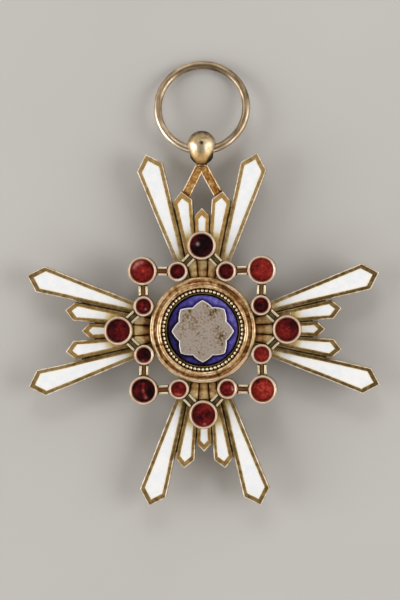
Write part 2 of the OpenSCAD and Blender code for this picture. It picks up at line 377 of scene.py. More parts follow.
def gildedSilver(key):
    *colours, roughness, patch, shift, grit, bump, film, metallic, cast = gilding[key]
    material, add, place, grime, fade = newMaterial(key + "GildedSilver", "grime", "fade")
    patches = add("TexNoise", place, 1 / patch, 5, 0.65)
    grain = add("TexNoise", place, 1 / grit, 2)
    drift = add("MapRange", patches, *noiseSpan, -shift, shift)
    dirt = add("Math", grime, drift, use_clamp=True)
    colour = add("ValToRGB", dirt, stops=list(zip(dirtStops, colours)))
    tint = add("ValToRGB", add("TexNoise", place, 1 / patina["size"], 3, 0.6), stops=patina["tints"])
    toned = add("Mix", film, colour, tint, data_type="RGBA", blend_type="MULTIPLY")
    # the second colour, mixed in by the points' fade: on the collets it is a painted reflection of the red
    # stones
    if cast:
        patchy = add("MapRange", patches, 0.35, 0.65, 1.35, 0.65)
        glow = add("Math", fade, patchy, operation="MULTIPLY", use_clamp=True)
        toned = add("Mix", glow, toned, cast, data_type="RGBA")
    rough = add("MapRange", dirt, 0, 1, roughness, roughness + dirtRoughness)
    rougher = add("Math", grain, 0.12, rough, operation="MULTIPLY_ADD")
    relief = add("Math", patches, 2, grain, operation="MULTIPLY_ADD")
    normal = add("Bump", Height=relief, Strength=bump, Distance=0.02 * mm)
    finishMaterial(add, Base_Color=toned, Metallic=metallic, Roughness=rougher, Normal=normal)
    return material


# vitreous enamel, fired and stoned flush: opaque white glass, cream where it thins at the rims
# and stained towards the roots, with the faint waves of a hand-ground surface
whiteEnamelLook = {"glass": ((0.4, "#FDFCFC"), (0.6, "#F3F8FF")), "cream": "#FFF3D4",
                   "aged": ((0, "#FFF3D4"), (0.55, "#E4D6A4"), (1, "#C6A660")),
                   "roughness": 0.14, "wave": 0.9, "speck": 0.22}


def firedWhiteEnamel(look):
    material, add, place, edge, root = newMaterial("firedWhiteEnamel", "grime", "fade")
    clouds = add("TexNoise", place, 1 / look["wave"], 4)
    specks = add("TexNoise", place, 1 / look["speck"], 2)
    drift = add("MapRange", clouds, *noiseSpan, -0.12, 0.08)
    stain = add("Math", root, drift, use_clamp=True)
    glass = add("ValToRGB", clouds, stops=look["glass"])
    white = add("Mix", edge, glass, look["cream"], data_type="RGBA")
    cover = add("MapRange", stain, 0, 0.4)
    colour = add("Mix", cover, white, add("ValToRGB", stain, stops=look["aged"]), data_type="RGBA")
    normal = add("Bump", Height=clouds, Strength=0.35, Distance=0.03 * mm)
    rough = add("MapRange", specks, 0, 1, look["roughness"] - 0.04, look["roughness"] + 0.14)
    finishMaterial(add, Base_Color=colour, Roughness=rough, IOR=1.52, Normal=normal)
    return material


# the cross: struck rays with bevelled rims, each with a sunk cell, thin webs and ribbed roots

crossLook = {
    "rim": 0.49,  # from the enamel's edge to the ray's edge
    "bevel": 0.11,
    "tipBack": 0.16,  # how far the enamel stays behind the rim's usual width at the tip
    "sideBack": (0.05, 0, 0, 0, 0.05),  # and along the sides, by ray
    "flatDirt": (0.35, 0.62, 0.5, 0.5),  # on the rims' flats, by arm
    "flatGlow": (0.55, 0.12, 0.25, 0.3),  # warm cast, by arm
    "rayGlow": (0.4, 0.9, 1.2, 0.9, 0.4),  # and its share by ray
    "cellDepth": 0.4, "cellClear": 0.02, "rootRadius": 6, "hubRadius": 6.4, "around": 96,
    "crowdReach": 0.55,
    "crowdDirtAndShade": 0.64,  # added where a neighbour touches
    "rubFrom": 14.5,  # from this radius inwards the rims are rubbed paler,
    "rubRun": 3,  # fully after this run,
    "rootRub": (0.3, 0.4, 0.1, 0.2),  # so much, by arm
    "webHalf": 0.25, "webThick": 0.65, "webDirt": 0.6,
    "webs": ((4.5, 14.3), (13.3, 16.4)),  # angle from the arm's axis, and where the web ends
}
edgeCuts = (4, 24, 4, 4, 24)  # pieces that the root, side, two tip edges and side are cut into
cells, fills = {}, {}  # each enamel's outline as the frame has it, and as the tips leave it


# a cell's corners, from the root on the left, as seen with the ray pointing up
def readCell(node):
    corners = topOutline(node)
    near = sorted(range(5), key=lambda i: corners[i].length)[:2]
    first = near[0] if (near[0] + 1) % 5 == near[1] else near[1]
    return [corners[(first + i) % 5] for i in range(5)]


def readCells(look):
    for arm in arms:
        for i in range(raysPerArm):
            node = f"enamel_{arm}_{i + 1}"
            cells[node] = readCell(node)
            side, tip = look["sideBack"][i], look["tipBack"]
            fills[node] = insetLoop(cells[node], [0, side, tip, tip, side])


def pointAtRadius(inner, outer, radius):
    run = outer - inner
    a, b, c = run.dot(run), 2 * inner.dot(run), inner.dot(inner) - radius * radius
    return inner + run * ((-b + sqrt(b * b - 4 * a * c)) / (2 * a))


# a ray's outline runs on along its sides to the hub
def rayOutline(cell, look):
    loop = insetLoop(cell, -look["rim"])
    left = pointAtRadius(loop[0], loop[4], look["rootRadius"])
    right = pointAtRadius(loop[1], loop[2], look["rootRadius"])
    return [left, right, *loop[2:]]


# closeness to a neighbour's outline: 1 at its edge, 0 past the reach. On the rims it gives dirt and painted
# shade where two rays nearly touch, and on the blue field the painted shade under the plate
def crowding(point, others, reach):
    spot, nearest = point.xy, reach
    for loop in others:
        for i, a in enumerate(loop):
            edge = loop[(i + 1) % len(loop)] - a
            t = clamp((spot - a).dot(edge) / edge.length_squared)
            nearest = min(nearest, (a + edge * t - spot).length)
    return 1 - nearest / reach


def addRay(shape, node, look, others):
    outer, wall = rayOutline(cells[node], look), insetLoop(fills[node], -look["cellClear"])
    bevel, front, back = look["bevel"], levels["front"], levels["capTop"]
    flat, rub = (ofArm(look[key], node) for key in ("flatDirt", "rootRub"))
    glow = ofArm(look["flatGlow"], node) * ofRay(look["rayGlow"], node)
    # outline, its inset, height, dirt, and whether it is the flat
    steps = [(outer, bevel, back, 0.45, 0), (outer, 0, back + bevel, 0.4, 0),
             (outer, 0, front - bevel - 0.1, 0.4, 0), (outer, 0, front - bevel, 0.25, 0),
             (outer, bevel, front, 0.05, 0), (outer, bevel + 0.02, front, flat, 1),
             (wall, -0.07, front, flat, 1), (wall, -0.025, front - 0.005, 0.3, 0),
             (wall, 0, front - 0.03, 0.2, 0), (wall, 0, front - look["cellDepth"], 1, 0)]
    rings, grimes, fades = [], [], []
    for outline, inset, z, own, isFlat in steps:
        ring = atLevel(fineLoop(insetLoop(outline, inset), edgeCuts), z)
        dirt = []
        for p in ring:
            # dirt and painted shade where a neighbouring ray nearly touches
            crowd = crowding(p, others, look["crowdReach"])
            left = 1 - rub * clamp((look["rubFrom"] - hypot(p.x, p.y)) / look["rubRun"])
            dirt.append(min(1, own * left + look["crowdDirtAndShade"] * crowd * left))
        rings.append(ring)
        grimes.append(dirt)
        fades.append([glow * isFlat] * len(ring))
    addRings(shape, rings, grimes, fades=fades)


def addWeb(shape, angle, reach, look):
    turn = Matrix.Rotation(-radians(angle), 3, "Z")
    middle = (levels["front"] + levels["capTop"]) / 2
    half, thick, near = look["webHalf"], look["webThick"] / 2, look["rootRadius"] - 0.3
    corners = ((-half, -thick), (half, -thick), (half, thick), (-half, thick))
    rings = [[turn @ Vector((x, near + (reach - near) * i / 8, middle + z)) for x, z in corners]
             for i in range(9)]
    addRings(shape, rings, [look["webDirt"]] * 9)


# the bare roots of the short and medium rays are broad ribs, warm gold with thin dark joints
ribLook = {
    # along a rib the grime darkens in a band near 7.8 mm, painted shade where the rib dips, and towards both
    # ends
    "stations": ((6.6, 0.02, 0.8), (6.95, 0.08, 0.55), (7.2, 0.14, 0.36), (7.5, 0.16, 0.34),
                 (7.78, 0.14, 0.46), (8.05, 0.17, 0.3), (8.35, 0.2, 0.18), (8.7, 0.2, 0.14),
                 (9, 0.17, 0.15), (9.12, 0, 0.6), (9.7, -0.02, 0.6)),  # radius, rise, grime
    "edge": -0.02,  # left flat beside the rib
    "sink": 0.08,
    "flatness": 0.4,  # 1 is a round rib, 0 a flat one
    "across": 20, "sideDirt": 0.7, "middleHighlight": 0.1,
    # the rib's middle is painted lighter, a painted highlight along its crown
    # painted shade added to an arm's inner and outer stations, painted light where it is below zero; they
    # meet at a radius over a short run
    "armShade": ((-0.12, -0.06), (0.06, -0.04), (-0.04, -0.02), (0.26, -0.2)),
    "meet": (7.4, 0.6),
}


def addRib(shape, node, look, rib):
    outer = insetLoop(rayOutline(cells[node], look), rib["edge"])
    innerArmShade, outerArmShade = ofArm(rib["armShade"], node)
    meetAt, run = rib["meet"]
    foot = levels["front"] - rib["sink"]
    rings, grimes = [], []
    for radius, rise, grime in rib["stations"]:
        own = innerArmShade + (outerArmShade - innerArmShade) * smooth((radius - meetAt) / run)
        left = pointAtRadius(outer[0], outer[4], radius)
        right = pointAtRadius(outer[1], outer[2], radius)
        ring, dirt = [], []
        for i in range(rib["across"] + 1):
            t = i / rib["across"]
            lift = sin(pi * t) ** rib["flatness"] if 0 < t < 1 else 0
            ring.append(Vector((*left.lerp(right, t), foot + (rise + rib["sink"]) * lift)))
            # painted highlight along the rib's middle
            middle = rib["middleHighlight"] * (1 - 2 * smooth(abs(2 * t - 1)))
            dirt.append(max(0, grime + own - middle) + rib["sideDirt"] * abs(2 * t - 1) ** 10)
        rings.append(ring + [Vector((*side, foot - rib["sink"])) for side in (right, left)])
        grimes.append(dirt + [1, 1])
    addRings(shape, rings, grimes)


def makeCross(look):
    shape = newShape()
    outlines = {node: rayOutline(cell, look) for node, cell in cells.items()}
    for node in cells:
        addRay(shape, node, look, [loop for other, loop in outlines.items() if other != node])
    for quarter in (0, 90, 180, 270):
        for angle, reach in look["webs"]:
            addWeb(shape, quarter + angle, reach, look)
            addWeb(shape, quarter - angle, reach, look)
    hub, back, front = look["hubRadius"], levels["capTop"] + 0.05, levels["front"] - 0.05
    addLathe(shape, (0, 0, 0), [(0, back, 1), (hub, back, 1), (hub, front, 1), (0, front, 1)], look["around"])
    makePiece("rayCross", shape, gildedSilver("struck"), ["cross"])
    roots = newShape()
    for node in cells:
        if node[-1] in "234":
            addRib(roots, node, look, ribLook)
    makePiece("rayRoots", roots, gildedSilver("root"), ["cross"])
    print("cross: 20 rays,", len(shape["points"]), "points")


# one fill of enamel for each cell, its surface curved down to the rims like a meniscus

fillLook = {
    # inset from the fill's edge, drop below the rims, and how thin the enamel is there
    "rings": ((0, 0.045, 1), (0.03, 0.03, 0.9), (0.08, 0.024, 0.6), (0.15, 0.02, 0.25),
              (0.22, 0.018, 0)),
    "bareLength": (0.15, 0.4, 0.1, 0.4, 0.15),  # from the root, by ray
    "stainLength": (1.2, 1.3, 0.6, 1.3, 1.2),  # past the bare stretch
}


def makeFill(node, material, look):
    cell, shape = fills[node], newShape()
    rootRadius = (cell[0] + cell[1]).length / 2
    bare, length = ofRay(look["bareLength"], node), ofRay(look["stainLength"], node)
    steps = [(0, crossLook["cellDepth"] - 0.01, 1), *look["rings"]]
    rings, stains = [], []
    for inset, drop, _ in steps:
        ring = atLevel(fineLoop(insetLoop(cell, inset), edgeCuts), levels["front"] - drop)
        rings.append(ring)
        stains.append([clamp(1 - (hypot(p.x, p.y) - rootRadius - bare) / length) ** 1.3 for p in ring])
    addRings(shape, rings, [thin for _, _, thin in steps], caps=False, fades=stains)
    count, (rootCuts, sideCuts, *_) = sum(edgeCuts), edgeCuts
    shape["faces"].append(tuple(range(count)))
    # the middle is filled with strips from side to side, so that the stain can fade along it
    base = (len(rings) - 1) * count
    right = [base + rootCuts + i for i in range(sideCuts + 1)]
    left = [base + (count - i) % count for i in range(sideCuts + 1)]
    shape["faces"].append((left[1], *range(base, right[0] + 1), right[1]))
    for i in range(1, sideCuts):
        shape["faces"].append((left[i], right[i], right[i + 1], left[i + 1]))
    shape["faces"].append(tuple(range(right[-1], left[-1] + 1)))
    makePiece(pieceName(node), shape, material, [node])


def makeFills(look):
    material = firedWhiteEnamel(whiteEnamelLook)
    for node in cells:
        makeFill(node, material, look)
    print("enamel:", len(cells), "fills")


# plain turned back cap

capLook = {"chamfer": 0.3, "around": 96}


def makeBackCap(look):
    high, shape, chamfer = boxOf("back_cap")[1], newShape(), look["chamfer"]
    radius, top = high.x, high.z
    flat = radius - chamfer
    profile = [(0, 0, 0.5), (radius * 0.5, 0, 0.5), (flat - 0.05, 0, 0.4), (flat + 0.04, 0.05, 0.1),
               (radius - 0.05, chamfer - 0.03, 0.1), (radius, chamfer + 0.05, 0.2), (radius, top - 0.06, 0.5),
               (radius - 0.05, top, 0.8), (0, top, 1)]
    addLathe(shape, (0, 0, 0), profile, look["around"])
    makePiece("backCap", shape, gildedSilver("cap"), ["back_cap"])


# the frame of jewels: sixteen round collets soldered to links of two bars

jewelLook = {
    "places": 8, "height": 1.7, "floor": 0.42, "clear": 0.02, "wall": 0.38,
    "lip": 0.42,  # how far the rolled lip falls to the stone
    "lipRound": 0.08,  # radius of its outer edge
    "lipTop": 0.05,  # its flat width
    "overlap": 0.03,  # over the stone
    # the painted red reflection of the stone on the slope down to it: its strength, where it begins and how
    # soon it is full
    "stoneGlow": 0.75,
    "reflectionFrom": 0.07,  # inwards from the lip's outer edge,
    "reflectionRun": 0.14,  # full after this run
    # where the slope down to the stone gets a painted highlight, with less grime and less painted red:
    # degrees from +X, and how strong
    "rubbed": {"large_stone_1": (-10, 0.4), "large_stone_2": (5, 0.9), "large_stone_4": (10, 0.8),
               "large_stone_5": (60, 0.4), "large_stone_7": (-45, 0.8), "small_stone_1": (-20, 0.8),
               "small_stone_4": (5, 0.9), "small_stone_6": (10, 0.8), "small_stone_8": (-60, 0.9)},
    "linkWidth": 1.18, "bar": 0.3, "barLow": 0.5, "barHigh": 0.8, "channel": 0.32, "floorDirt": 0.42,
    "uprightDirt": 0.17,  # on the bars of upright links
    "levelGlow": 0.7,  # red cast between the bars of level links
    "uprightGlow": 0.4,  # and of upright ones
    # how far from a collet, how far below the bar's top, and the dirt there
    "barEnds": ((-0.04, 0.3, 1), (0.03, 0.1, 0.6), (0.1, 0.02, 0.15), (0.16, 0, 0)),
    "floorEnds": ((-0.1, 0, 0.5), (0, 0, 0.4), (0.12, 0, 0.1)),
}
collets = {}


def readCollets(look):
    for size in ("large", "small"):
        for k in range(look["places"]):
            node = f"{size}_stone_{k + 1}"
            low, high = boxOf(node)
            collets[node] = {"centre": (low.xy + high.xy) / 2, "stone": (high.x - low.x) / 2,
                             "low": low.z, "high": high.z}


def addCollet(shape, node, collet, look):
    centre, seat, top, fall = collet["centre"], collet["stone"] + look["clear"], look["height"], look["lip"]
    outer, edge = seat + look["wall"], look["lipRound"]
    inward = look["wall"] - edge - look["lipTop"] + look["overlap"]
    # the outer wall darkens towards its foot, painted shade where it stands on the cross
    profile = [(0, 0, 1), (outer - 0.02, 0, 1), (outer, 0.06, 0.85), (outer, top * 0.5, 0.62),
               (outer, top - edge - 0.1, 0.6), *arc((outer - edge, top - edge), edge, 0, 90, 4, 0.7, 0.08)]
    # the slope's grime rises towards the stone, a painted dark reflection of the stone
    for i in range(9):  # a quarter of an ellipse, down to the stone
        a = radians(90 * i / 8)
        profile.append((outer - edge - look["lipTop"] - inward * sin(a), top - fall * (1 - cos(a)),
                        0.04 + 0.5 * smooth((i - 1.2) / 2.8)))
    profile += [(seat, top - fall - 0.05, 1), (seat, look["floor"], 1), (0, look["floor"], 1)]
    base = len(shape["points"])
    addLathe(shape, (*centre, levels["front"]), profile, 64)
    # on the charted side the slope's grime and its painted red reflection are lessened, a painted highlight
    side, share = look["rubbed"].get(node, (0, 0))
    for i, p in enumerate(shape["points"][base:], base):
        away = p.xy - centre
        if seat - look["overlap"] < away.length < outer - edge:
            left = 1 - share * facing(*away, side) ** 3
            shape["grime"][i] *= left
            depth = smooth((outer - edge - look["reflectionFrom"] - away.length) / look["reflectionRun"])
            shape["fade"][i] = look["stoneGlow"] * depth * left


# stations along a link are (distance, dip, grime), counted from both of its collets
def bothEnds(ends, length, middle):
    return [*ends, *middle, *((length - distance, dip, dirt) for distance, dip, dirt in reversed(ends))]


# a strip along a link, whose section is a list of (across, height, grime)
def addStrip(shape, start, along, section, stations, glow=0):
    side, low = Vector((-along.y, along.x)), section[0][1]
    rings, grimes = [], []
    for distance, dip, dirt in stations:
        spot = start + along * distance
        rings.append([Vector((*(spot + side * a), levels["front"] + max(low, z - dip)))
                      for a, z, _ in section])
        grimes.append([min(1, g + dirt) for _, _, g in section])
    addRings(shape, rings, grimes, fades=[[glow] * len(section)] * len(rings))


def addLink(shape, a, b, look):
    along = (b["centre"] - a["centre"]).normalized()
    rim = look["clear"] + look["wall"]
    start = a["centre"] + along * (a["stone"] + rim)
    length = (b["centre"] - start).length - b["stone"] - rim
    half, radius, low = look["linkWidth"] / 2, look["bar"] / 2, look["barLow"]
    high = low + look["barHigh"]
    stations = bothEnds(look["barEnds"], length, [(length * share, 0, 0) for share in (0.4, 0.5, 0.6)])
    upright, level = along.y ** 8, along.x ** 8  # 1 for such a link, and near 0 for the slanted ones
    for middle in (radius - half, half - radius):
        rounded = arc((middle, high - radius), radius, 0, 180, 8, look["uprightDirt"] * upright)
        section = [(middle - radius, low, 0.9), (middle + radius, low, 0.9), (*rounded[0][:2], 0.6),
                   *rounded[1:-1], (*rounded[-1][:2], 0.6)]
        addStrip(shape, start, along, section, stations)
    floor, inner = low + look["channel"], half - look["bar"] + 0.01
    dull = look["floorDirt"] * (1 - 0.6 * upright - 0.3 * level)
    section = [(-inner, low + 0.02, 1), (inner, low + 0.02, 1), (inner, floor, 0.8),
               (inner * 0.6, floor + 0.03, dull + 0.08), (0, floor + 0.05, dull),
               (-inner * 0.6, floor + 0.03, dull + 0.08), (-inner, floor, 0.8)]
    glow = look["levelGlow"] * level + look["uprightGlow"] * upright
    addStrip(shape, start, along, section, bothEnds(look["floorEnds"], length, [(length / 2, 0, 0)]), glow)


def makeJewelFrame(look):
    rims, links = newShape(), newShape()
    for node, collet in collets.items():
        addCollet(rims, node, collet, look)
    for k in range(look["places"]):
        for after in (k, (k + 1) % look["places"]):
            addLink(links, collets[f"small_stone_{k + 1}"], collets[f"large_stone_{after + 1}"], look)
    makePiece("frameCollets", rims, gildedSilver("collet"), ["jewel_frame"])
    makePiece("frameLinks", links, gildedSilver("link"), ["jewel_frame"])
    print("jewel frame: 16 collets,", len(rims["points"]), "points")


# red glass stones, low-domed over foil: soft with wear, each with its own depth of red. The chart
# is clockwise from the top: the foil's brightness, then lighter or darker spots as (x, y,
# size, strength) in stone radii, crescents of painted light along the rim as (angle, strength),
# and pale glints, which are painted highlights
stoneChart = {
    "large": (
        (0.02, [(0.1, -0.5, 0.35, 0.08), (-0.6, 0.1, 0.3, 0.16)], [(140, 0.45), (-25, 0.2), (-80, 0.1)],
         [(-0.36, 0.16, 0.14, 0.42)]),
        (0.66, [(-0.1, 0, 0.3, 0.1), (-0.5, 0.45, 0.3, -0.16), (0.35, 0.3, 0.16, 0.14),
                (0.1, 0.45, 0.14, 0.12), (-0.2, -0.4, 0.16, 0.12)], [(-20, 0.2), (100, 0.2)], []),
        (0.53, [(-0.2, -0.2, 0.4, 0.16), (0.5, 0.4, 0.4, -0.25), (0, 0.6, 0.3, -0.15)], [(200, 0.15)], []),
        (0.76, [(-0.45, 0.75, 0.14, -0.6), (0.2, 0.1, 0.4, 0.05), (-0.5, -0.2, 0.25, -0.1)],
         [(-10, 0.1)], []),
        (0.44, [(0, 0.5, 0.25, 0.16), (-0.3, -0.3, 0.3, -0.15), (0.3, 0.1, 0.2, -0.16),
                (-0.3, 0.3, 0.15, 0.16), (0.1, -0.4, 0.2, 0.14)],
         [(60, 0.3), (-80, 0.35)], [(0.1, -0.86, 0.1, 0.4)]),
        (0.24, [(0.02, 0.6, 0.14, 0.34), (0, 0.35, 0.13, 0.4), (-0.04, 0.1, 0.13, 0.44),
                (0, -0.15, 0.13, 0.44), (0.08, -0.4, 0.16, 0.46), (0.25, -0.66, 0.17, 0.5),
                (-0.5, 0, 0.35, 0.16), (0.6, -0.25, 0.3, -0.3), (-0.3, 0.6, 0.3, 0.12)],
         [(200, 0.2)], [(0, 0, 0.1, 0.15), (0.2, -0.62, 0.12, 0.2)]),
        (0.4, [(0.2, 0, 0.4, 0.12), (-0.5, 0.5, 0.35, -0.2), (0.1, 0.6, 0.2, 0.1)], [(-45, 0.15)], []),
        (0.65, [(0.05, 0, 0.2, 0.24), (-0.1, -0.4, 0.25, -0.14), (0.5, 0.5, 0.25, -0.15)], [(125, 0.4)],
         [(-0.1, 0.78, 0.16, 0.28), (-0.45, 0.62, 0.18, 0.34), (-0.72, 0.3, 0.16, 0.28)])),
    "small": (
        (0.34, [(-0.2, 0.1, 0.35, 0.12), (0.2, -0.4, 0.2, 0.12)], [(0, 0.3)], []),
        (0.3, [(-0.1, 0.1, 0.3, -0.2), (0.3, -0.5, 0.2, 0.1)], [(100, 0.3)], []),
        (0.76, [(0, 0.2, 0.4, -0.08), (-0.4, 0.3, 0.3, -0.16)], [(-30, 0.16)], []),
        (0.6, [(0, 0.2, 0.3, 0.1), (-0.3, -0.3, 0.2, -0.15)], [(0, 0.3)],
         [(0.74, -0.08, 0.14, 0.75), (0.68, 0.25, 0.12, 0.4)]),
        (0.62, [(-0.1, 0.3, 0.35, -0.2)], [(-95, 0.6)], [(0, -0.8, 0.14, 0.2)]),
        (0.22, [(0.1, 0, 0.3, -0.15)], [(-90, 0.5), (150, 0.2)], [(-0.2, -0.84, 0.12, 0.2)]),
        (0.5, [(-0.3, 0.2, 0.25, 0.16), (0.2, 0.4, 0.15, -0.2), (0, -0.2, 0.15, -0.16)], [],
         [(0.28, -0.45, 0.15, 0.28)]),
        (0.4, [(0, 0.1, 0.35, 0.16)], [(-90, -0.2)], [])),
}
redGlassLook = {
    "reds": ((0, "#0A0106"), (0.25, "#2C060C"), (0.5, "#5C1114"), (0.78, "#93271F"), (1, "#CC5C48")),
    "glint": "#DCC0C0",
    "brightest": 0.86,  # the mottle doesn't lift the red past this
    "cloud": 0.42, "flaw": 0.2, "rimShade": 0.04, "roughness": 0.16, "shine": 0.3,
    "dome": 0.16,  # its height as a share of the radius
}


def foiledRedGlass(look):
    material, add, place, glint, tone = newMaterial("foiledRedGlass", "grime", "fade")
    clouds = add("TexNoise", place, 1 / look["cloud"], 3, Distortion=0.6)
    flaws = add("TexNoise", place, 1 / look["flaw"], 2)
    mottle = add("MapRange", clouds, *noiseSpan, -0.15, 0.13)
    speckle = add("MapRange", flaws, *noiseSpan, -0.1, 0.08)
    varied = add("Math", mottle, speckle)
    room = add("Math", look["brightest"], tone, operation="SUBTRACT")
    spare = add("Math", room, 0.02, operation="MAXIMUM")
    held = add("Math", varied, spare, operation="MINIMUM")
    depth = add("Math", tone, held, use_clamp=True)
    red = add("ValToRGB", depth, stops=look["reds"])
    colour = add("Mix", glint, red, look["glint"], data_type="RGBA")
    finishMaterial(add, Base_Color=colour, Roughness=look["roughness"], Specular_IOR_Level=look["shine"])
    return material


# the charted tone of a stone at a place given in stone radii from its centre
def stoneTone(chart, x, y, look):
    tone, spots, crescents, _ = chart
    tone += spotted(x, y, spots)
    rim = clamp((hypot(x, y) - 0.5) / 0.35)
    # crescents are painted light along the rim, painted shade where their strength is below zero
    for side, strength in crescents:
        tone += strength * facing(x, y, side) ** 3 * rim
    return tone - look["rimShade"] * max(0, (hypot(x, y) - 0.7) / 0.3) ** 2


def makeStones(look):
    material = foiledRedGlass(look)
    for node, collet in collets.items():
        shape, radius, top = newShape(), collet["stone"], collet["high"]
        dome = look["dome"] * radius
        wall = top - dome - 0.05
        profile = [(0, collet["low"], 0), (radius, collet["low"], 0), (radius, wall, 0),
                   *arc((radius - 0.06, wall), 0.06, 20, 70, 3, 0)]
        for i in range(19):
            r = (radius - 0.08) * (1 - i / 18)
            profile.append((r, top - dome * (r / radius) ** 2, 0))
        addLathe(shape, (*collet["centre"], 0), profile, 56)
        chart = stoneChart[node.split("_")[0]][int(node[-1]) - 1]
        places = [(p.xy - collet["centre"]) / radius for p in shape["points"]]
        shape["fade"] = [stoneTone(chart, x, y, look) for x, y in places]
        # the pale glints, painted highlights, are kept in the grime values
        shape["grime"] = [spotted(x, y, chart[3]) for x, y in places]
        makePiece(pieceName(node), shape, material, [node], sharp=50)
    print("stones:", len(collets))


# the medallion: a turned bezel of two rounded bands with a groove, a beaded ring, the blue
# field and the silver mirror plate

bezelLook = {"cupFloor": 0.3, "cup": 5.45, "band": 0.26, "outerBand": 1, "innerBand": 1.3, "around": 256,
             "blotch": 0.4, "blotchDepth": 0.13,
             "streaks": 9}  # turning marks for each mm
# stains charted: angle from +X in degrees, radius, spread along and across in mm, strength
bezelStains = (
    (88, 6.55, 4.6, 0.25, 0.22), (285, 6.6, 5.5, 0.3, -0.13), (105, 6.1, 3, 0.2, -0.22),
    (150, 6.1, 2, 0.2, -0.14), (255, 6.1, 1.2, 0.2, -0.2), (165, 5.7, 1.6, 0.2, -0.16),
    (0, 5.7, 3.2, 0.2, -0.14), (255, 5.7, 3, 0.25, -0.1), (20, 6.1, 0.8, 0.25, 0.08),
    (45, 5.75, 1.3, 0.3, 0.24), (62, 6.3, 0.35, 0.4, 0.25), (88, 6.2, 0.5, 0.2, 0.1),
    (78, 5.7, 1, 0.2, -0.12), (123, 5.9, 0.12, 0.6, 0.25), (160, 5.7, 0.3, 0.2, 0.15),
    (172, 6.1, 0.5, 0.2, 0.1), (182, 5.75, 0.6, 0.4, -0.2), (199, 5.8, 0.12, 0.7, 0.4),
    (212, 6.1, 1.4, 0.25, 0.12), (246, 5.9, 0.12, 0.7, 0.3), (289, 6, 0.15, 0.8, 0.3),
    (310, 6.5, 0.7, 0.3, -0.2), (336, 6.1, 0.5, 0.3, 0.22))


def makeBezel(look):
    outer = boxOf("medallion_bezel")[1].x
    band, cup, shape = look["band"], look["cup"], newShape()
    outerBand, innerBand = (outer - band, look["outerBand"]), (cup + band, look["innerBand"])
    profile = [(0, 0.02, 1), (outer - 0.03, 0.02, 1), (outer, 0.08, 0.9), (outer, 0.5, 0.7),
               *arc(outerBand, band, -10, 90, 6, 0.4, 0.1), *arc(outerBand, band, 105, 150, 3, 0.1, 0.3),
               (outer - 0.53, 1.05, 0.45), (outer - 0.65, 1.02, 0.6), (cup + 2 * band + 0.1, 1.08, 0.5),
               *arc(innerBand, band, 0, 90, 6, 0.4, 0.28), *arc(innerBand, band, 105, 180, 5, 0.24, 0.5),
               (cup, 1.1, 0.8), (cup, look["cupFloor"], 1), (0, look["cupFloor"], 1)]
    addLathe(shape, (0, 0, levels["front"]), profile, look["around"])
    for i, p in enumerate(shape["points"]):
        radius, angle = hypot(p.x, p.y), atan2(p.y, p.x)
        streak = Vector((radius * look["streaks"], cos(angle) * 3, sin(angle) * 3))
        stain = look["blotchDepth"] * (noise.noise(p / look["blotch"]) + 1.5 * noise.noise(streak)) * 2
        for side, middle, along, across, strength in bezelStains:
            off = radians((degrees(angle) - side + 180) % 360 - 180) * radius
            stain += strength * exp(-(off / along) ** 2 - ((radius - middle) / across) ** 2)
        shape["grime"][i] = clamp(shape["grime"][i] + stain)
    makePiece("medallionBezel", shape, gildedSilver("bezel"), ["medallion_bezel"])


beadLook = {"count": 60, "radius": 5.17, "bead": 0.47, "base": 0.88, "ledge": 4.72, "ledgeWidth": 0.16,
            "ledgeTop": 0.98, "around": 128,
            "vary": 0.07,  # no two beads are quite the same size
            "varyHeight": 0.03,  # or height
            "paintedLightBySide": ((105, 0.7), (225, -0.35), (335, 0.15))}  # degrees from +X, and painted shade on the beads there, painted light where it is below zero


def makeBeadRing(look):
    floor, front, count = bezelLook["cupFloor"], levels["front"], look["around"]
    shape, outer, base, top = newShape(), bezelLook["cup"] - 0.02, look["base"], look["ledgeTop"]
    inner, step = look["ledge"], look["ledge"] + look["ledgeWidth"]
    profile = [(inner, floor, 1), (outer, floor, 1), (outer, base, 1), (step + 0.02, base, 1),
               (step, top - 0.04, 0.85), (step - 0.04, top, 0.55), (inner + 0.04, top, 0.55),
               (inner, top - 0.04, 1)]
    angles = [tau * j / count for j in range(count)]
    rings = [[Vector((r * cos(a), r * sin(a), front + z)) for r, z, _ in profile] for a in angles]
    addRings(shape, rings, [[dirt for _, _, dirt in profile]] * count, loop=True)
    for i in range(look["count"]):
        angle = tau * i / look["count"]
        spot = Vector((look["radius"] * cos(angle), look["radius"] * sin(angle), front + base))
        vary = noise.noise(spot * 3.7)
        radius = look["bead"] / 2 * (1 + look["vary"] * vary)
        spot.z += look["varyHeight"] * vary
        # painted shade and painted light on the beads by side
        dull = 0.3 + sum(dirt * facing(spot.x, spot.y, side) ** 3 for side, dirt in look["paintedLightBySide"])
        bead = [(r, z, clamp(dull - 1.2 * z / radius)) for r, z, _ in arc((0, 0), radius, -90, 90, 8, 1)]
        addLathe(shape, spot, bead, 14)
    makePiece("beadRing", shape, gildedSilver("bead"), ["bead_ring"])
    print("bead ring:", look["count"], "beads")


# translucent violet-blue enamel over silver, glossy. Its charted values paint it: nearly black
# under the plate's edge and down the left side, painted shade, and lighter to the right and the
# top, painted light
blueLook = {
    "blues": ((0.08, "#0C0624"), (0.42, "#383080"), (0.75, "#5A52A6"), (1, "#8E88D2")),
    "cloud": 0.6, "fleck": 0.15, "roughness": 0.2, "around": 144, "rings": 18,
    "innerRadius": 3,  # hidden by the plate from here inwards
    "middle": 0.6,  # painted brightness, and the painted light that the right and the top add to it
    "side": (0.18, 0.17), "leftShade": 0.22,
    "plateShade": (0.4, 0.6),  # how far it reaches, and how strong it is
    "rimShade": (0.16, 0.25),
}


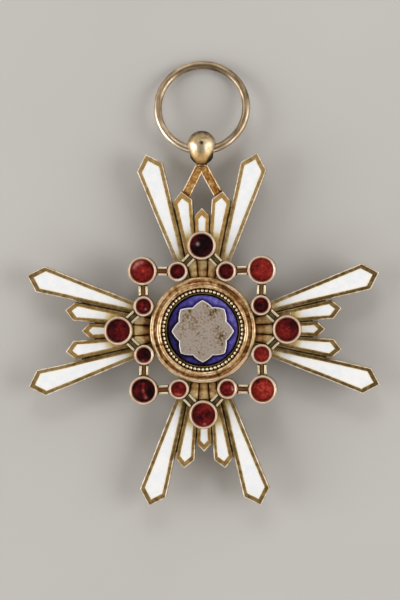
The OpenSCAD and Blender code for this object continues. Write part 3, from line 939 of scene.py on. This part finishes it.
def firedBlueEnamel(look):
    material, add, place, charted = newMaterial("firedBlueEnamel", "fade")
    clouds = add("TexNoise", place, 1 / look["cloud"], 4)
    flecks = add("TexNoise", place, 1 / look["fleck"], 2)
    drift = add("MapRange", clouds, *noiseSpan, -0.14, 0.14)
    speckle = add("MapRange", flecks, 0.35, 0.65, -0.06, 0.06)
    drifted = add("Math", charted, drift)
    shade = add("Math", drifted, speckle, use_clamp=True)
    normal = add("Bump", Height=flecks, Strength=0.5, Distance=0.04 * mm)
    finishMaterial(add, Base_Color=add("ValToRGB", shade, stops=look["blues"]), Roughness=look["roughness"],
                   IOR=1.52, Normal=normal)
    return material


def makeBlueField(look):
    low, high = boxOf("blue_field")
    radius, shape, top, count = high.x, newShape(), high.z - 0.005, look["rings"]
    profile = [(0, low.z, 1), (radius, low.z, 1), (radius, top - 0.12, 1), (radius - 0.03, top - 0.06, 1)]
    span = radius - 0.06 - look["innerRadius"]
    profile += [(radius - 0.06 - span * i / count, top - 0.04 * (1 - i / count) ** 6, 0)
                for i in range(count + 1)]
    profile.append((0, top, 0))
    addLathe(shape, (0, 0, 0), profile, look["around"])
    plate = [topOutline("mirror_plate")]
    (plateReach, plateDark), (rimReach, rimDark) = look["plateShade"], look["rimShade"]
    shape["fade"] = []
    # painted shade under the plate's edge, on the left and at the rim, painted light to the right and the top
    for p in shape["points"]:
        shaded = crowding(p, plate, plateReach) if p.xy.length > look["innerRadius"] - 0.01 else 1
        lit = look["middle"] + (p.x * look["side"][0] + p.y * look["side"][1]) / radius
        lit -= look["leftShade"] * max(0, -p.x / radius) ** 2
        rim = max(0, (p.xy.length - radius) / rimReach + 1)
        shape["fade"].append(lit - plateDark * shaded - rimDark * rim)
    makePiece("blueField", shape, firedBlueEnamel(look), ["blue_field"])


# sawn and burnished silver plate, tarnished: mauve-grey with brown and olive stains, rubbed
# bright along its bevelled edge. The stains are charted as (x, y, size, strength) in mm
plateLook = {
    "tarnish": ((0.1, "#C6B9AF"), (0.4, "#AC9A88"), (0.75, "#86704C"), (1, "#54432A")),
    "rubbed": "#F6EEF2",
    "patch": 1.1, "speck": 0.3, "grain": 0.09, "roughness": 0.5,
    "bevel": 0.09, "steps": 16, "cuts": 3, "points": 8,
    "hollow": 0.015,  # how far the points' flanks are drawn in, so that the tips look sharp
}
plateStains = (
    (-1.6, 2.55, 0.25, 0.6), (-1.2, 1, 0.7, 0.45), (-2.4, 1.25, 0.25, 0.4), (-2, 2, 0.5, 0.3),
    (0.6, 3.2, 0.35, 0.55), (1.65, 2.55, 0.45, 0.8), (1.1, 2.15, 0.35, 0.55), (0.5, 2.4, 0.35, 0.4),
    (1.9, 0.35, 0.3, 0.45), (2.3, -0.6, 0.8, 0.42), (2.55, -1.1, 0.5, 0.32), (1.4, 1.5, 0.35, 0.35),
    (2.55, 1.65, 0.25, 0.35), (-0.55, -0.45, 0.2, 0.45), (-0.8, -1.35, 0.25, 0.35), (-2.5, 0.3, 0.3, 0.3),
    (2.55, -1.85, 0.35, 0.4), (-2.7, -0.7, 0.3, 0.25), (-0.5, -2.9, 0.25, 0.3))


def tarnishedSilver(look):
    material, add, place, flat, stain = newMaterial("tarnishedSilver", "grime", "fade")
    patches = add("TexNoise", place, 1 / look["patch"], 6, 0.7)
    specks = add("TexNoise", place, 1 / look["speck"], 4, 0.65)
    grain = add("TexNoise", place, 1 / look["grain"], 2)
    clouds = add("MapRange", patches, 0.3, 0.75, 0, 0.45)
    specked = add("MapRange", specks, 0.35, 0.7, -0.42, 0.5)
    broken = add("MapRange", specks, 0.4, 0.58, 0.5, 1.4)
    stained = add("Math", stain, broken, operation="MULTIPLY")
    spread = add("Math", clouds, stained)
    tarnish = add("Math", spread, specked, use_clamp=True)
    toned = add("ValToRGB", tarnish, stops=look["tarnish"])
    colour = add("Mix", flat, look["rubbed"], toned, data_type="RGBA")
    rough = add("MapRange", tarnish, 0, 1, look["roughness"] - 0.1, look["roughness"] + 0.2)
    relief = add("Math", specks, 2, grain, operation="MULTIPLY_ADD")
    normal = add("Bump", Height=relief, Strength=0.4, Distance=0.02 * mm)
    finishMaterial(add, Base_Color=colour, Metallic=0.6, Roughness=rough, Normal=normal)
    return material


def makeMirrorPlate(look):
    low, high = boxOf("mirror_plate")
    corners, bevel, top, count = topOutline("mirror_plate"), look["bevel"], high.z, look["steps"]
    outline = fineLoop(corners, [look["cuts"]] * len(corners))
    middle = sum(corners, Vector((0, 0))) / len(corners)
    for p in outline:
        turns = look["points"] * atan2(p.x - middle.x, p.y - middle.y)
        p += (middle - p) * look["hollow"] * abs(sin(turns))
    # inset from the edge, height, and 1 on the flat
    steps = [(0, low.z, 0.6), (0, top - bevel, 0.2), (bevel * 0.3, top - bevel * 0.4, 0),
             (bevel, top, 0), (bevel + 0.06, top, 0.7), (bevel + 0.15, top, 1)]
    rings = [atLevel([p.lerp(middle, inset / p.length) for p in outline], z) for inset, z, _ in steps]
    centre = Vector((*middle, top))
    rings += [[p.lerp(centre, i / count) for p in rings[-1]] for i in range(1, count)]
    shape = newShape()
    addRings(shape, rings, [flat for _, _, flat in steps] + [1] * (count - 1))
    shape["fade"] = [spotted(p.x, p.y, plateStains) for p in shape["points"]]
    makePiece("mirrorPlate", shape, tarnishedSilver(look), ["mirror_plate"])
    print("mirror plate:", len(corners), "corners")


# the hanger: two struck legs with raised edges, a collar and a pear-shaped ball with a bore

hangerLook = {
    # the right leg's outer edge from the shoulder to the foot, then its inner edge from the crotch
    "corners": ((0.78, 21.5), (2.87, 17.5), (0, 20.35), (1.8, 16.95)),
    "cuts": (14, 4, 16, 4, 16, 4, 14),
    "thick": 1.2, "rim": 0.17, "sunk": 0.12,
    "footShadow": 0.34,  # how far up the legs the painted shadow at their feet reaches
    "ballRadius": 1.89, "ballDrop": 2.6, "neck": 0.72,
    "lift": 0.67,  # from the bore up to the ball's widest level
    "wire": 1.04, "clear": 0.06, "mouth": 0.97,
    # where the painted dark reflection on the lower flanks begins, narrowing towards the neck
    "flankTaper": {"left": 0.58, "right": 0.66},
    "lowerGlow": 0.6,  # warmer gold towards the neck
    # one small spot painted dark, as (x, y, size, strength)
    "pit": (0.1, 24.35, 0.16, 1),
    "collar": ((0, -0.32, 1), (0.5, -0.3, 1), (0.62, -0.26, 0.8), (0.7, -0.18, 0.55), (0.72, -0.08, 0.5),
               (0.7, 0.02, 0.8), (0.64, 0.08, 1), (0.64, 0.12, 1), (0.76, 0.18, 0.6), (0.8, 0.27, 0.3),
               (0.76, 0.36, 0.5), (0.64, 0.42, 0.9), (0, 0.46, 1)),
}


def meetLines(a, b, c, d):
    u, v, w = b - a, d - c, c - a
    return a + u * (w.cross(v) / u.cross(v))


def addLegs(shape, look):
    tip, innerShoulder = insetLoop(rayOutline(cells["enamel_top_4"], crossLook), -0.02)[3:]
    shoulder, foot, crotch, footInner = (Vector(corner) for corner in look["corners"])
    outerFoot = meetLines(shoulder, foot, tip, innerShoulder)
    innerFoot = meetLines(crotch, footInner, tip, innerShoulder)
    out = (innerShoulder - tip).orthogonal().normalized()
    half = [crotch, innerFoot, outerFoot, shoulder]
    loop = half + [Vector((-p.x, p.y)) for p in reversed(half[1:])]
    low, high = hinge.z - look["thick"] / 2, hinge.z + look["thick"] / 2
    rim, floor = look["rim"], high - look["sunk"]
    steps = [(0.06, low, 0.8), (0, low + 0.06, 0.6), (0, high - 0.1, 0.3), (0.02, high - 0.03, 0.08),
             (0.06, high, 0.06), (rim - 0.05, high, 0.14), (rim, high - 0.03, 0.4), (rim + 0.02, floor, 0.7),
             (rim + 0.1, floor, 0.46)]
    rings, grimes = [], []
    for inset, z, own in steps:
        ring = atLevel(fineLoop(insetLoop(loop, inset), look["cuts"]), z)
        # painted shadow where the feet meet the ray tips
        near = [smooth(1 - abs((Vector((abs(p.x), p.y)) - tip).dot(out)) / look["footShadow"]) for p in ring]
        seam = [smooth((p.y - shoulder.y) / 0.1 + 1.5) * smooth((0.75 - abs(p.x)) / 0.2) for p in ring]
        rings.append(ring)
        grimes.append([min(1, own + 0.8 * share + top) for share, top in zip(near, seam)])
    addRings(shape, rings, grimes)


def addBall(shape, look):
    neckDeg = -degrees(acos(look["neck"] / look["ballRadius"]))
    profile = []
    for i in range(29):
        a = radians(90 + (neckDeg - 90) * i / 28)
        rise = (look["ballRadius"] if a > 0 else look["ballDrop"]) * sin(a)
        grime = 0.12 + 0.3 * max(0, -sin(a)) ** 1.5 + 0.55 * max(0, sin(a))
        profile.append((look["ballRadius"] * cos(a), rise, grime))
    profile.append((0, profile[-1][1], 1))
    middle = hinge.y + look["lift"]
    addLathe(shape, (0, middle, hinge.z), profile, 72, lengthwise)
    for i, p in enumerate(shape["points"]):  # the lower flanks are painted dark, a painted dark reflection, and one small spot is painted dark
        taper = look["flankTaper"]["right" if p.x > 0 else "left"]
        bright = look["ballRadius"] + taper * min(0, p.y - middle)
        darkFlank = smooth((abs(p.x) - bright) / 0.3)
        pit = spotted(p.x, p.y, [look["pit"]]) if p.z > hinge.z else 0
        shape["grime"][i] = min(1, shape["grime"][i] + 0.5 * darkFlank + pit)
        shape["fade"][i] = look["lowerGlow"] * smooth((middle - p.y) / 1.8) * (1 - darkFlank)


def makeHanger(look):
    balled, waist, legs, collar = (newShape() for _ in range(4))
    burnished, matt = gildedSilver("ball"), gildedSilver("hanger")
    addBall(balled, look)
    ball = makePiece("hangerBall", balled, burnished, ["hanger"], even=True)
    # the bore is narrowest in the middle, as the ring's wire is curved
    narrow, mouth, reach = look["wire"] / 2 + look["clear"], look["mouth"], look["ballRadius"] + 0.1
    profile = [(0, -reach, 1), (mouth, -reach, 0.7), (narrow, 0, 1), (mouth, reach, 0.7), (0, reach, 1)]
    addLathe(waist, hinge, profile, 48, crosswise)
    cutter = makePiece("boreCutter", waist, burnished, [], even=True)
    bore = ball.modifiers.new("bore", "BOOLEAN")
    bore.operation, bore.object, bore.solver = "DIFFERENCE", cutter, "EXACT"
    bpy.context.view_layer.update()
    ball.data = bpy.data.meshes.new_from_object(ball.evaluated_get(bpy.context.evaluated_depsgraph_get()))
    ball.modifiers.clear()
    bpy.data.objects.remove(cutter)
    addLegs(legs, look)
    addLathe(collar, (0, look["corners"][0][1] + 0.05, hinge.z), look["collar"], 48, lengthwise)
    makePiece("hangerLegs", legs, matt, ["hanger"])
    makePiece("hangerCollar", collar, burnished, ["hanger"])
    print("hanger: ball bored,", len(ball.data.vertices), "points")


# the ribbon ring: round drawn wire, closed and soldered, polished by wear

# the rub lays painted highlights, and the dirt added above and to the right is painted shade
ringLook = {"wire": 1.04, "around": 128, "across": 24, "dirt": 0.36, "rub": 0.2, "shadeAbove": 0.12,
            "dirtRight": 0.12, "streak": 0.25}


def makeRing(look):
    low, high = boxOf("suspension_ring")
    centre = (low + high) / 2
    outward, sideways = (centre - hinge).normalized(), Vector((1, 0, 0))
    upwards = sideways.cross(outward)
    radius, half = high.x - look["wire"] / 2, look["wire"] / 2
    shape, rings, grimes = newShape(), [], []
    for i in range(look["around"]):
        a = tau * i / look["around"]
        away = sideways * cos(a) + outward * sin(a)
        rise = max(0, sin(a))
        # painted highlights, laid as rubbing: on the outside below and at the top, on the inside in between
        side = 1 - 2 * smooth((sin(a) - 0.05) / 0.3) + 2 * smooth((sin(a) - 0.7) / 0.2)
        # painted shade added towards the top and towards the right
        dirt = look["dirt"] + look["shadeAbove"] * rise + look["dirtRight"] * max(0, cos(a))
        ring, grime = [], []
        for j in range(look["across"]):
            b = tau * j / look["across"]
            ring.append(centre + away * radius + (away * cos(b) + upwards * sin(b)) * half)
            streak = look["streak"] * noise.noise(Vector((4 * cos(a), 4 * sin(a), 9 * cos(b))))
            grime.append(clamp(dirt - look["rub"] * max(0, side * cos(b)) ** 0.5 + streak))
        rings.append(ring)
        grimes.append(grime)
    addRings(shape, rings, grimes, loop=True)
    makePiece("suspensionRing", shape, gildedSilver("ring"), ["suspension_ring"], body="ring",
              even=True)
    print("ring: wire", look["wire"], "mm")


makeCamera(cameraLook)
makeStudio(studio)
makeFloor(studio)
readCells(crossLook)
readCollets(jewelLook)
makeCross(crossLook)
makeFills(fillLook)
makeBackCap(capLook)
makeJewelFrame(jewelLook)
makeStones(redGlassLook)
makeBezel(bezelLook)
makeBeadRing(beadLook)
makeBlueField(blueLook)
makeMirrorPlate(plateLook)
makeHanger(hangerLook)
makeRing(ringLook)
